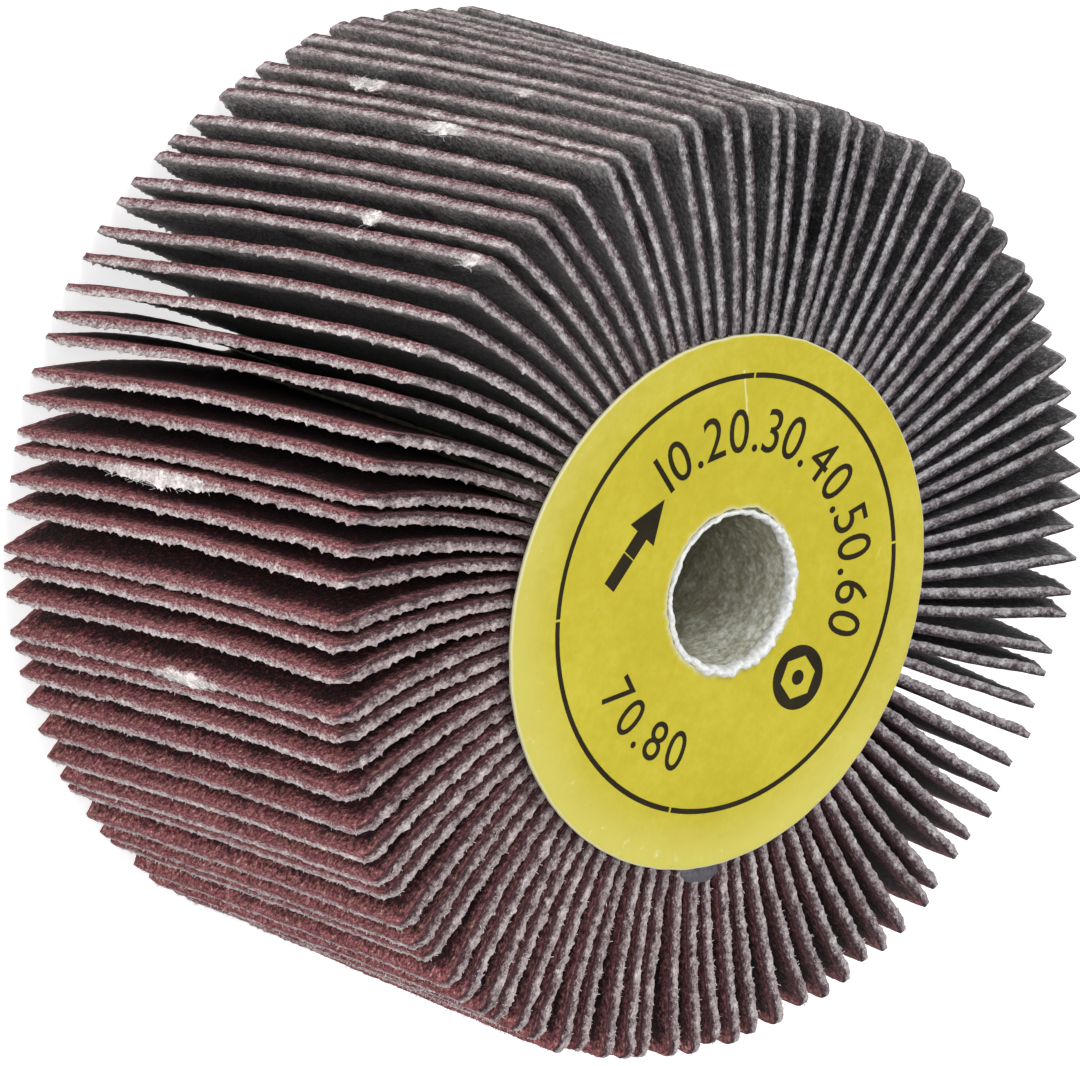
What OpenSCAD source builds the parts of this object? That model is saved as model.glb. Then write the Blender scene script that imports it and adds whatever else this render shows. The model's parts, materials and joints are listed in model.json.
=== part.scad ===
// Flap wheel: leaves of coated abrasive cloth cast by their roots into a resin core.
// The wheel lies on its rear end. The origin is the bore's centre on the rear face,
// and +Z runs along the bore towards the paper disc on the front.

/* [Wheel] */
// Diameter over the flap tips
wheel_d = 60; // [50:0.5:76]
// Width over the flaps
wheel_w = 32.8; // [20:0.1:60]

/* [Core] */
// Diameter of the cast resin core
core_d = 31.6; // [30.5:0.1:40]
// Diameter of the bore
bore_d = 10; // [6:0.1:16]
// Depth of the slots that the flap roots are cast into
slot_depth = 1.7; // [0.8:0.1:2.4]
// Resin that covers the front ends of the flap roots
cap_t = 0.45; // [0.2:0.05:3]
// Play between a flap root and its slot
slot_play = 0.03; // [0.01:0.01:0.06]

/* [Flaps] */
// Pairs of neighbouring flaps round the wheel
pair_count = 49; // [30:1:52]
// Thickness of the coated cloth
flap_t = 0.65; // [0.3:0.05:0.8]
// Radius on the two outer corners of a flap
corner_r = 0.8; // [0.3:0.1:4]
// How far a flap's tip trails its root at the front, in degrees
lean = 3.4; // [1:0.1:6]
// How much the lean rises and falls round the wheel, in degrees
lean_swing = 2; // [0:0.1:3]
// Where round the wheel the flaps lean most, in degrees
lean_peak = 285; // [0:1:360]
// How much further the tip trails at the rear, in degrees
skew = 5.2; // [0:0.1:7]
// How much the skew rises and falls round the wheel, in degrees
skew_swing = 2.3; // [0:0.1:3]
// Where round the wheel the flaps are skewed most, in degrees
skew_peak = 205; // [0:1:360]
// Uneven spacing of the tips, in degrees either way
tip_scatter = 0.8; // [0:0.05:0.9]
// Uneven length of the flaps
length_scatter = 0.35; // [0:0.05:1]
// Uneven seating of the flaps along the wheel
end_scatter = 0.25; // [0:0.05:0.6]

/* [Paper disc] */
// Diameter of the paper disc
label_d = 33.5; // [28:0.5:44]
// Thickness of the paper disc
label_t = 0.3; // [0.1:0.05:1]
// Clearance between the torn hole in the paper and the bore, on the radius
label_gap = 0.2; // [0.1:0.05:1]
// How far off centre the disc is stuck, along X
label_x = 0.9; // [-2:0.1:2]
// How far off centre the disc is stuck, along Y
label_y = -0.5; // [-2:0.1:2]

/* [Hidden] */
flap_count = 2 * pair_count;
flap_pitch = 360 / flap_count;
core_r = core_d / 2;
core_h = wheel_w + cap_t;
tip_r = wheel_d / 2;
slot_r = core_r - slot_depth;
root_r = slot_r + slot_play;
flap_h = wheel_w - end_scatter;

// A flap bends back more towards its tip, but takes up its skew close to the core
bend_power = 1.3;
skew_power = 0.5;
// Share of the skew that has built up evenly from front to rear
even_share = 0.45;
// A cut or a hole runs this far past the face that it opens
past = 1;
// Facets of the round pieces
$fn = 96;

// Stations along a flap's free length, after its root: the core's surface to the tip
free_stations = [0, 0.15, 0.5, 1];
// Stations across a flap: round the rear corner, over the straight edge, round the front one
corner_turns = [0, 45, 90];
corner_steps = [for (a = corner_turns) corner_r * (1 - cos(a))];
heights = concat(
    corner_steps,
    [flap_h / 2],
    [for (k = [len(corner_steps) - 1:-1:0]) flap_h - corner_steps[k]]
);
rows = len(heights);
cols = len(free_stations) + 1;

// A repeatable uneven value from -1 to 1 for flap i
function uneven(i, seed) = sin(53.7 * i * i + 211.3 * i + 97.1 * seed);

function pair_name(k) = str("flap_pair_", k < 10 ? "0" : "", k);

// Outer radius of flap i at height z, with its corners rounded
function edge_r(i, z) =
    let (
        from_end = min(z, flap_h - z, corner_r),
        inset = corner_r - sqrt(max(0, corner_r * corner_r - pow(corner_r - from_end, 2)))
    )
    tip_r - length_scatter * (1 + uneven(i, 1)) / 2 - inset;

// Angle by which the tip of flap i trails its root at the front
function lean_turn(i) =
    lean + lean_swing * cos(i * flap_pitch - lean_peak) + tip_scatter * uneven(i, 2);

// Angle by which the tip of flap i trails further at height z
function skew_turn(i, z) =
    let (
        depth = 1 - z / flap_h,
        built_up = even_share * depth + (1 - even_share) * depth * depth
    )
    built_up * (skew + skew_swing * cos(i * flap_pitch - skew_peak));

// A point on one face of flap i, at radius r and height z
function face_point(i, side, r, z) =
    let (
        share = max(0, (r - core_r) / (tip_r - core_r)),
        turn = lean_turn(i) * pow(share, bend_power) + skew_turn(i, z) * pow(share, skew_power),
        rise = share == 0 ? 0
            : lean_turn(i) * bend_power * pow(share, bend_power - 1)
                + skew_turn(i, z) * skew_power * pow(share, skew_power - 1),
        slope = atan(r * rise * PI / 180 / (tip_r - core_r))
    )
    [
        r * cos(turn) - side * flap_t / 2 * sin(turn + slope),
        r * sin(turn) + side * flap_t / 2 * cos(turn + slope),
        z
    ];

// The radii of one row of points: the root, then the free length out to the rounded edge
function row_radii(i, z) = concat(
    [root_r],
    [for (s = free_stations) core_r + s * (edge_r(i, z) - core_r)]
);

function grid_index(side, row, col) = (side > 0 ? rows * cols : 0) + row * cols + col;

// The edge of the grid, once round
function grid_rim() = concat(
    [for (c = [0:cols - 2]) [0, c]],
    [for (r = [0:rows - 2]) [r, cols - 1]],
    [for (c = [cols - 1:-1:1]) [rows - 1, c]],
    [for (r = [rows - 1:-1:1]) [r, 0]]
);

// The resin core, with its bore and one slot for each flap root
module core() {
    color("#a9aaa2")
    difference() {
        cylinder(h = core_h, r = core_r);
        translate([0, 0, -past])
            cylinder(h = core_h + 2 * past, d = bore_d);
        for (i = [0:flap_count - 1])
            rotate([0, 0, i * flap_pitch])
            translate([slot_r, -flap_t / 2 - slot_play, -past])
                cube([slot_depth + past, flap_t + 2 * slot_play, wheel_w + slot_play + past]);
    }
}

// One leaf of coated cloth: straight in its slot, then bent and skewed out to its tip
module flap(i) {
    points = [
        for (side = [-1, 1])
        for (z = heights)
        for (r = row_radii(i, z))
            face_point(i, side, r, z)
    ];
    rim = grid_rim();
    faces = concat(
        [
            for (side = [-1, 1])
            for (row = [0:rows - 2])
            for (col = [0:cols - 2])
            let (
                a = grid_index(side, row, col),
                b = grid_index(side, row, col + 1),
                c = grid_index(side, row + 1, col + 1),
                d = grid_index(side, row + 1, col)
            )
            each (side > 0 ? [[a, b, c], [a, c, d]] : [[c, b, a], [d, c, a]])
        ],
        [
            for (k = [0:len(rim) - 1])
            let (
                p = rim[k],
                q = rim[(k + 1) % len(rim)],
                a = grid_index(1, q[0], q[1]),
                b = grid_index(1, p[0], p[1]),
                c = grid_index(-1, p[0], p[1]),
                d = grid_index(-1, q[0], q[1])
            )
            each [[a, b, c], [a, c, d]]
        ]
    );
    rotate([0, 0, i * flap_pitch])
    translate([0, 0, end_scatter * (1 + uneven(i, 3)) / 2])
        polyhedron(points = points, faces = faces);
}

// Two neighbouring flaps, each a solid of its own
module flap_pair(k) {
    color("#7b4a48")
    for (i = [2 * k - 2, 2 * k - 1])
        flap(i);
}

// The paper disc on the front, with its hole over the bore
module label() {
    color("#d1c544")
    translate([0, 0, core_h])
    difference() {
        translate([label_x, label_y, 0])
            cylinder(h = label_t, d = label_d);
        translate([0, 0, -past])
            cylinder(h = label_t + 2 * past, r = bore_d / 2 + label_gap);
    }
}

core();  // resin_core
label();  // paper_disc
for (k = [1:pair_count])
    flap_pair(k);
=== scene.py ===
import json
import math

import bmesh
import bpy
import numpy as np
from mathutils import Matrix, Vector, noise
from mathutils.geometry import delaunay_2d_cdt

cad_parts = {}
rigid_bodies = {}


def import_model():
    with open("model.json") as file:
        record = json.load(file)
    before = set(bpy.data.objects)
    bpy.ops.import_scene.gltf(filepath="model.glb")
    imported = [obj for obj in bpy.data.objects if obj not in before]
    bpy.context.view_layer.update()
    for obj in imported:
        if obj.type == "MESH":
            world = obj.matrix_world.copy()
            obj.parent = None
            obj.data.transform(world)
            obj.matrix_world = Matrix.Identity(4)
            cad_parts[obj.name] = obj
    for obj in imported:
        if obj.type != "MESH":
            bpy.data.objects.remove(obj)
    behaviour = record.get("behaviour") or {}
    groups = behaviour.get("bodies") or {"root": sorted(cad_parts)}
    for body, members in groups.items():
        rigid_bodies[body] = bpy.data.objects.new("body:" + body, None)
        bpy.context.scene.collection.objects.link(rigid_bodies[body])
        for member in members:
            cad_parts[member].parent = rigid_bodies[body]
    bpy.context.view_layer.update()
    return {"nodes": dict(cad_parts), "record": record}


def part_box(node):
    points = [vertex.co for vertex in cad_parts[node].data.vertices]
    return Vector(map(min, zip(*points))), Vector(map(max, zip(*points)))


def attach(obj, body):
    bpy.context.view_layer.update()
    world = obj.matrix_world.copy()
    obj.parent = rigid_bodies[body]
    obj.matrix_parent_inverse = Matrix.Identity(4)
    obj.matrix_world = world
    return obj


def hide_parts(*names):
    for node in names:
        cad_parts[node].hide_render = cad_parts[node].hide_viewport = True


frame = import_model()

mm = 0.001
coreLow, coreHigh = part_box("resin_core")
discLow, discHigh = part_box("paper_disc")
pairNames = sorted(name for name in frame["nodes"] if name.startswith("flap_pair_"))
boreRadius = frame["record"]["mounts"][0]["dims"]["r_mm"]      # mm
coreRadius = coreHigh.x / mm
frontZ = coreHigh.z / mm               # the core's front face, under the paper
paperZ = discHigh.z / mm               # the paper's face
print("frame loaded:", len(frame["nodes"]), "nodes")


# Helpers

def newMaterial(name):
    material = bpy.data.materials.new(name)
    material.use_nodes = True
    return material, material.node_tree, material.node_tree.nodes["Principled BSDF"]


def addNode(tree, kind, **settings):
    node = tree.nodes.new(kind)
    for key, value in settings.items():
        setattr(node, key, value)
    return node


def wire(tree, value, socket):
    # a Field, a socket or a plain value into one input
    if isinstance(value, Field):
        value = value.socket
    if isinstance(value, bpy.types.NodeSocket):
        tree.links.new(value, socket)
    else:
        socket.default_value = value


class Field:
    # wraps a node's output so that a sum of nodes reads as a sum
    def __init__(self, tree, socket):
        self.tree = tree
        self.socket = socket

    def math(self, operation, *others):
        node = addNode(self.tree, "ShaderNodeMath", operation=operation)
        for value, socket in zip((self,) + others, node.inputs):
            wire(self.tree, value, socket)
        return Field(self.tree, node.outputs[0])

    def __add__(self, other):
        return self.math("ADD", other)

    def __sub__(self, other):
        return self.math("SUBTRACT", other)

    def __mul__(self, other):
        return self.math("MULTIPLY", other)

    def __truediv__(self, other):
        return self.math("DIVIDE", other)

    def __pow__(self, other):
        return self.math("POWER", other)

    def __rsub__(self, other):
        return self.math("MULTIPLY", -1.0).math("ADD", other)

    __radd__ = __add__
    __rmul__ = __mul__

    def sin(self):
        return self.math("SINE")

    def cos(self):
        return self.math("COSINE")

    def above(self, low):
        return self.math("MAXIMUM", low)

    def below(self, high):
        return self.math("MINIMUM", high)


def splitVector(tree, value):
    node = addNode(tree, "ShaderNodeSeparateXYZ")
    wire(tree, value, node.inputs[0])
    return [Field(tree, output) for output in node.outputs]


def joinVector(tree, x, y, z):
    node = addNode(tree, "ShaderNodeCombineXYZ")
    for value, socket in zip((x, y, z), node.inputs):
        wire(tree, value, socket)
    return node.outputs[0]


def noiseField(tree, vector, scale, w=0.0, detail=2.0, roughness=0.5):
    # smooth noise round zero, about -1 to 1
    node = addNode(tree, "ShaderNodeTexNoise", noise_dimensions="4D")
    wire(tree, vector, node.inputs["Vector"])
    wire(tree, w, node.inputs["W"])
    node.inputs["Scale"].default_value = scale
    node.inputs["Detail"].default_value = detail
    node.inputs["Roughness"].default_value = roughness
    return (Field(tree, node.outputs["Fac"]) - 0.5) * 2.6


def ramp(tree, factor, stops, interpolation="LINEAR"):
    # stops are (place, colour) pairs
    node = addNode(tree, "ShaderNodeValToRGB")
    node.color_ramp.interpolation = interpolation
    elements = node.color_ramp.elements
    while len(elements) < len(stops):
        elements.new(0.5)
    for element, (place, colour) in zip(elements, stops):
        element.position = place
        element.color = (*colour, 1.0)
    wire(tree, factor, node.inputs[0])
    return node.outputs[0]


def mixColour(tree, factor, first, second, blend="MIX"):
    node = addNode(tree, "ShaderNodeMix", data_type="RGBA", blend_type=blend)
    wire(tree, factor, node.inputs[0])
    for value, socket in ((first, node.inputs[6]), (second, node.inputs[7])):
        wire(tree, (*value, 1.0) if isinstance(value, tuple) else value, socket)
    return node.outputs[2]


def spread(tree, value, low, high):
    # maps low..high to 0..1, clamped
    node = addNode(tree, "ShaderNodeMapRange")
    wire(tree, value, node.inputs[0])
    node.inputs[1].default_value = low
    node.inputs[2].default_value = high
    return Field(tree, node.outputs[0])


def bump(tree, height, strength, distance, shader):
    node = addNode(tree, "ShaderNodeBump")
    node.inputs["Strength"].default_value = strength
    node.inputs["Distance"].default_value = distance
    wire(tree, height, node.inputs["Height"])
    tree.links.new(node.outputs[0], shader.inputs["Normal"])


def attributeField(tree, name, output="Fac"):
    node = addNode(tree, "ShaderNodeAttribute", attribute_name=name)
    return Field(tree, node.outputs[output])


def meshObject(name, points, faces, materials=()):
    mesh = bpy.data.meshes.new(name)
    mesh.from_pydata([tuple(p) for p in points], [], faces)
    for material in materials:
        mesh.materials.append(material)
    piece = bpy.data.objects.new(name, mesh)
    bpy.context.scene.collection.objects.link(piece)
    return piece


def pointValues(mesh, name, values, kind="FLOAT"):
    attribute = mesh.attributes.new(name, kind, "POINT")
    key = "vector" if kind == "FLOAT_VECTOR" else "value"
    attribute.data.foreach_set(key, np.asarray(values, np.float32).ravel())


def shadeSmooth(piece):
    piece.data.polygons.foreach_set("use_smooth", [True] * len(piece.data.polygons))


def outwardFaces(piece):
    shape = bmesh.new()
    shape.from_mesh(piece.data)
    bmesh.ops.remove_doubles(shape, verts=shape.verts, dist=0.0001 * mm)
    bmesh.ops.recalc_face_normals(shape, faces=shape.faces)
    shape.to_mesh(piece.data)
    shape.free()


def finishPiece(piece, replaced=()):
    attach(piece, "root")
    if replaced:
        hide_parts(*replaced)


def addSockets(tree, values):
    # named inputs, one for each entry of a dictionary
    kinds = {float: "NodeSocketFloat", int: "NodeSocketInt", bpy.types.Material: "NodeSocketMaterial"}
    for name, value in values.items():
        socket = tree.interface.new_socket(name, in_out="INPUT", socket_type=kinds[type(value)])
        if not isinstance(value, bpy.types.Material):
            socket.default_value = value


def startTree(name, values):
    tree = bpy.data.node_groups.new(name, "GeometryNodeTree")
    tree.interface.new_socket("Geometry", in_out="INPUT", socket_type="NodeSocketGeometry")
    tree.interface.new_socket("Geometry", in_out="OUTPUT", socket_type="NodeSocketGeometry")
    addSockets(tree, values)
    start = addNode(tree, "NodeGroupInput")
    end = addNode(tree, "NodeGroupOutput")
    inputs = {name: Field(tree, start.outputs[name]) for name in values}
    return tree, start.outputs["Geometry"], inputs, end.inputs["Geometry"]


def runTree(piece, tree, values):
    # sets the modifier's inputs by identifier, and keeps the result as a plain mesh
    modifier = piece.modifiers.new("build", "NODES")
    modifier.node_group = tree
    for item in tree.interface.items_tree:
        if item.in_out == "INPUT" and item.name in values:
            modifier[item.identifier] = values[item.name]
    graph = bpy.context.evaluated_depsgraph_get()
    built = bpy.data.meshes.new_from_object(piece.evaluated_get(graph), depsgraph=graph)
    piece.modifiers.remove(modifier)
    piece.data = built
    built.name = piece.name
    return piece


# Camera, light and floor

view = dict(
    place=(0.53, -404.8, 444.0),      # mm, from the bore's centre on the rear face
    right=(-0.33143, 0.68555, 0.64821),
    up=(-0.94348, -0.24082, -0.22770),
    lens=316.9,
    sensor=36.0,
)


def makeCamera():
    camera = bpy.data.objects.new("camera", bpy.data.cameras.new("camera"))
    bpy.context.scene.collection.objects.link(camera)
    right = Vector(view["right"]).normalized()
    up = Vector(view["up"])
    up = (up - up.dot(right) * right).normalized()
    turned = Matrix((right, up, right.cross(up))).transposed().to_4x4()
    camera.matrix_world = Matrix.Translation(Vector(view["place"]) * mm) @ turned
    camera.data.lens = view["lens"]
    camera.data.sensor_width = view["sensor"]
    camera.data.sensor_fit = "HORIZONTAL"
    camera.data.clip_start = 0.01
    camera.data.clip_end = 20.0
    bpy.context.scene.camera = camera


light = dict(
    keyPlace=(-0.76, -0.30, 0.62), keySize=0.50, keyPower=4.9,
    sidePlace=(0.46, -0.92, 0.24), sideSize=0.50, sidePower=3.1,
    topPlace=(0.05, 0.30, 0.95), topSize=0.60, topPower=2.3,
    fillPlace=(-0.08, -0.74, 0.78), fillSize=0.30, fillPower=2.0,
    sky=(0.97, 0.98, 1.0), skyPower=0.57,
    floorGlow=0.70,                                  # the floor is lit from below, as a light table is
)


def makeLight(name):
    lamp = bpy.data.objects.new(name, bpy.data.lights.new(name, "AREA"))
    lamp.data.size = light[name + "Size"]
    lamp.data.energy = light[name + "Power"]
    lamp.location = light[name + "Place"]
    lamp.rotation_euler = (-Vector(lamp.location)).to_track_quat("-Z", "Y").to_euler()
    bpy.context.scene.collection.objects.link(lamp)


def makeStage():
    for name in ("key", "side", "top", "fill"):
        makeLight(name)
    world = bpy.data.worlds.new("sky")
    world.use_nodes = True
    sky = world.node_tree.nodes["Background"]
    sky.inputs["Color"].default_value = (*light["sky"], 1.0)
    sky.inputs["Strength"].default_value = light["skyPower"]
    bpy.context.scene.world = world
    bpy.context.scene.view_settings.view_transform = "Standard"
    material, tree, shader = newMaterial("paleFloor")
    shader.inputs["Base Color"].default_value = (0.52, 0.52, 0.52, 1.0)
    shader.inputs["Roughness"].default_value = 0.9
    shader.inputs["Emission Color"].default_value = (1.0, 1.0, 1.0, 1.0)
    shader.inputs["Emission Strength"].default_value = light["floorGlow"]
    half = 3.0
    floor = meshObject(
        "floor",
        [(-half, -half, 0), (half, -half, 0), (half, half, 0), (-half, half, 0)],
        [(0, 1, 2, 3)],
        [material],
    )


makeCamera()
makeStage()
print("camera, light and floor made")


# Flaps

flap = dict(
    tipRadius=30.0, width=32.8, thickness=0.65,     # mm, all as the solids have them
    cornerRadius=0.8, rootDepth=1.4,
    lean=3.4, leanSwing=2.0, leanPeak=285.0,        # degrees
    skew=5.2, skewSwing=2.3, skewPeak=205.0,
    tipScatter=0.8, lengthScatter=0.35, endScatter=0.25,
    bendPower=1.3, skewPower=0.5, evenShare=0.45,
    fineStep=0.16, coarseStep=1.8, strips=3,        # mm between points on the cut edge, and inside it
    rag=0.24, teeth=0.40, wave=0.24,                # mm, of the cut edge and of the leaf
    thinTip=0.50, thinReach=2.2,                    # the share left at a worn rear corner; mm
    raggedSide=290.0, narrowSide=135.0,             # degrees: torn most, and worn thin most
    sharpSide=90.0,                                 # degrees: where the front corners are squarest
)
leafHeight = flap["width"] - flap["endScatter"]
cloth = dict(
    reddest=330.0, darkTips=142.0, paleDeep=265.0,  # degrees round the wheel
    speckScale=2900.0, patchScale=380.0,            # a metre: the grain's specks and its patches
    blotchScale=230.0,
    napScale=3300.0, fineScale=3400.0, tearScale=800.0,
)


# Tufts of cotton torn out of the cloth side of a flap's edge, with loose lint on them

lint = dict(
    # angle round the wheel in degrees, from and to along the wheel in mm
    tufts=(
        (280.0, 8.0, 19.5),
        (226.0, 17.0, 20.8),
        (302.5, 14.0, 21.0),
        (243.0, 30.0, 31.6),
        (240.5, 20.0, 21.8),
        (215.2, 19.0, 20.4),
        (222.0, 8.0, 11.0),
        (193.0, 28.8, 32.0),
    ),
    tuft=0.50, density=2.6e7,                             # mm; strands on a square metre
    points=6, shortest=0.35, length=1.5, tilt=0.5, thickness=0.03, curl=0.30,      # mm; radians
)


def unevenValue(number, seed):
    return math.sin(math.radians(53.7 * number * number + 211.3 * number + 97.1 * seed))


def tipAngle(number, z):
    # where a flap's tip stands round the wheel, in degrees, at height z
    at = number * 360.0 / (2 * len(pairNames))
    depth = max(0.0, 1.0 - z / leafHeight)
    built = flap["evenShare"] * depth + (1.0 - flap["evenShare"]) * depth * depth
    lean = flap["lean"] + flap["leanSwing"] * math.cos(math.radians(at - flap["leanPeak"]))
    skew = flap["skew"] + flap["skewSwing"] * math.cos(math.radians(at - flap["skewPeak"]))
    return at + lean + flap["tipScatter"] * unevenValue(number, 2) + built * skew


def nearestFlap(angle, z):
    def away(number):
        return abs((tipAngle(number, z) - angle + 180.0) % 360.0 - 180.0)
    return min(range(2 * len(pairNames)), key=away)


def clothMaterial():
    material, tree, shader = newMaterial("coatedCloth")
    across = attributeField(tree, "across")         # -1 on the grain, 1 on the cloth
    edge = attributeField(tree, "edge")
    sheet = attributeField(tree, "sheet", "Vector")
    number = attributeField(tree, "flapNumber")
    outX, acrossY, upZ = splitVector(tree, sheet)
    fromTip = flap["tipRadius"] * mm - outX
    fromEdge = fromTip.math("MINIMUM", leafHeight * mm - upZ).math("MINIMUM", upZ)
    roundX, roundY, _ = splitVector(tree, addNode(tree, "ShaderNodeTexCoord").outputs["Object"])
    fromAxis = (roundX * roundX + roundY * roundY) ** 0.5

    def towards(angle):
        turn = math.radians(angle)
        return (roundX * math.cos(turn) + roundY * math.sin(turn)) / fromAxis

    # flaps on the side away from the reddest side are greyer and darker, partly the cloth's own tint and
    # partly painted shade on the side turned from the light; some tips are dark
    redAndLit = spread(tree, towards(cloth["reddest"]), -0.8, 0.7)
    darkTips = spread(tree, towards(cloth["darkTips"]), 0.25, 0.95)
    # painted light: the backing is made paler more than a millimetre in from the tip on one side of the
    # wheel, where the flaps lie in shade
    paleDeep = spread(tree, towards(cloth["paleDeep"]), 0.25, 0.85) * spread(tree, fromTip, 0.001, 0.004)
    # the grain: red-brown specks with dark pits between them, rubbed pinker along the edge, and darkened
    # deeper in from the tip as painted shade between the flaps
    drawn = joinVector(tree, outX * 0.85, acrossY, upZ)
    specks = noiseField(tree, drawn, cloth["speckScale"], number, 2.0, 0.85)
    patches = noiseField(tree, sheet, cloth["patchScale"], number, 2.0)
    # painted shade: these fall from 1 at the tip to 0 a couple of mm in, darkening the faces where
    # neighbouring flaps shade them; the paleness at the tip is partly worn nap
    tipWearAndGapShade = spread(tree, patches * 0.0006 - fromTip, -0.0023, 0.0)
    grainGapShade = spread(tree, patches * 0.0006 - fromTip, -0.0015, 0.0)
    grain = ramp(tree, spread(tree, specks * 1.1 + patches * 0.25 + grainGapShade * 0.64, -0.25, 1.20), [
        (0.0, (0.012, 0.007, 0.008)),
        (0.25, (0.040, 0.012, 0.015)),
        (0.48, (0.130, 0.032, 0.036)),
        (0.70, (0.35, 0.085, 0.087)),
        (1.0, (0.80, 0.50, 0.44)),
    ])
    rubbedGrain = ramp(tree, spread(tree, specks, -0.65, 0.65), [
        (0.0, (0.040, 0.015, 0.019)),
        (0.35, (0.19, 0.062, 0.068)),
        (0.7, (0.42, 0.190, 0.190)),
        (1.0, (0.76, 0.58, 0.55)),
    ])
    hues = ramp(tree, spread(tree, noiseField(tree, drawn, 2300.0, number + 160.0, 1.0), -0.6, 0.6), [
        (0.0, (1.0, 0.68, 0.92)),
        (0.5, (0.95, 0.95, 0.95)),
        (1.0, (0.90, 0.97, 0.70)),
    ])
    nearEdge = spread(tree, specks * 0.0006 + patches * 0.0002 - fromEdge, -0.0011, 0.0)
    grain = mixColour(tree, nearEdge * 0.9, grain, rubbedGrain)
    grain = mixColour(tree, 1.0, grain, hues, "MULTIPLY")
    # painted shade, with some of the cloth's own tint: the grain is greyed on the side away from the reddest
    # side
    grain = mixColour(tree, (1.0 - redAndLit) * 0.5, grain, (0.085, 0.072, 0.077))
    # the cloth behind it: a dark grey nap, combed and paler towards the worn tip, darkened deeper in from
    # the tip as painted shade between the flaps, and painted paler deeper in on one side of the wheel as
    # painted light
    combed = joinVector(tree, outX * 0.85, acrossY, upZ)
    nap = noiseField(tree, combed, cloth["napScale"], number, 3.0, 0.85)
    tear = noiseField(tree, sheet, cloth["tearScale"], number + 80.0, 2.0, 0.6)
    # painted shade: the backing is kept dark away from the tip, with the paleness at the tip partly worn
    # nap, less of it on the darkTips side
    tipLightGapShade = tipWearAndGapShade * (1.0 - darkTips * 0.8) * 0.62 - darkTips * 0.14
    backing = ramp(tree, spread(tree, nap * 1.25 + tear * 0.45 + patches * 0.45 + tipLightGapShade, -0.55, 1.15), [
        (0.0, (0.010, 0.010, 0.011)),
        (0.35, (0.032, 0.031, 0.033)),
        (0.65, (0.140, 0.135, 0.134)),
        (1.0, (0.42, 0.40, 0.39)),
    ])
    paleNap = ramp(tree, spread(tree, nap, -0.8, 0.8), [
        (0.0, (0.070, 0.066, 0.068)),
        (0.5, (0.28, 0.265, 0.262)),
        (1.0, (0.62, 0.61, 0.59)),
    ])
    napEdge = spread(tree, nap * 0.0006 + patches * 0.0003 - fromTip, -0.0018, 0.0)
    backing = mixColour(tree, napEdge * (1.0 - darkTips * 0.7) * 0.85, backing, paleNap)
    # painted light: the backing paler deeper in on that side of the wheel
    backing = mixColour(tree, paleDeep * 0.65, backing, paleNap)
    blotch = spread(tree, noiseField(tree, sheet, cloth["blotchScale"], number + 120.0, 1.0), 0.30, 0.50)
    backing = mixColour(tree, blotch * 0.8, backing, (0.36, 0.36, 0.37), "MULTIPLY")
    faces = mixColour(tree, spread(tree, across, -0.1, 0.1), grain, backing)
    # the cut edge: bare pale cotton on the cloth side, stained on the grain side
    short = joinVector(tree, outX, acrossY * 1.8, upZ)
    fine = noiseField(tree, short, cloth["fineScale"], number + 40.0, 2.0, 0.75)
    front = spread(tree, upZ, leafHeight * mm - 0.0007, leafHeight * mm - 0.0003)
    tuft = attributeField(tree, "tuft")
    paleness = fine * (0.85 - front * 0.2) + tear * 0.5 + tuft * 0.8 + redAndLit * 0.16 + front * (0.01 - redAndLit * 0.10) - 0.02 \
        + noiseField(tree, joinVector(tree, 0.0, 0.0, 0.0), 1.0, number * 5.3, 0.0) * 0.25
    cotton = ramp(tree, spread(tree, paleness, -0.75, 0.85), [
        (0.0, (0.050, 0.036, 0.040)),
        (0.35, (0.215, 0.170, 0.175)),
        (0.62, (0.45, 0.405, 0.40)),
        (1.0, (0.86, 0.85, 0.82)),
    ])
    cotton = mixColour(tree, redAndLit * 0.6, cotton, (1.0, 0.90, 0.905), "MULTIPLY")
    redStain = ramp(tree, spread(tree, fine - front * 0.2, -0.6, 0.7), [
        (0.0, (0.034, 0.012, 0.016)),
        (0.4, (0.160, 0.048, 0.055)),
        (0.7, (0.37, 0.155, 0.16)),
        (1.0, (0.68, 0.48, 0.47)),
    ])
    # painted shade: the greyer, darker stain is used on the side away from the reddest side; towards the
    # front it is mixed in to mute the red
    greyShadedStain = ramp(tree, spread(tree, fine - front * 0.2, -0.7, 0.8), [
        (0.0, (0.014, 0.010, 0.013)),
        (0.5, (0.060, 0.042, 0.048)),
        (1.0, (0.30, 0.25, 0.26)),
    ])
    stained = mixColour(tree, redAndLit * (1.0 - front * 0.70), greyShadedStain, redStain)
    shift = front * (redAndLit * 0.37 - 0.22) - redAndLit * 0.40 + 0.26
    bare = spread(tree, across + tear * 0.6 + fine * 0.7 + tuft + shift, -0.55, 0.45)
    cut = mixColour(tree, bare, stained, cotton)
    cut = mixColour(tree, (1.0 - redAndLit) * front, cut, (0.97, 1.04, 1.08), "MULTIPLY")
    worn = spread(tree, edge + fine * 0.22 + tear * 0.12, 0.45, 0.8)
    tree.links.new(mixColour(tree, worn, faces, cut), shader.inputs["Base Color"])
    shader.inputs["Roughness"].default_value = 0.9
    shader.inputs["Specular IOR Level"].default_value = 0.2
    bump(tree, specks * 0.7 + fine * 0.7 + nap * 0.4, 0.8, 0.00013, shader)
    return material


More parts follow.
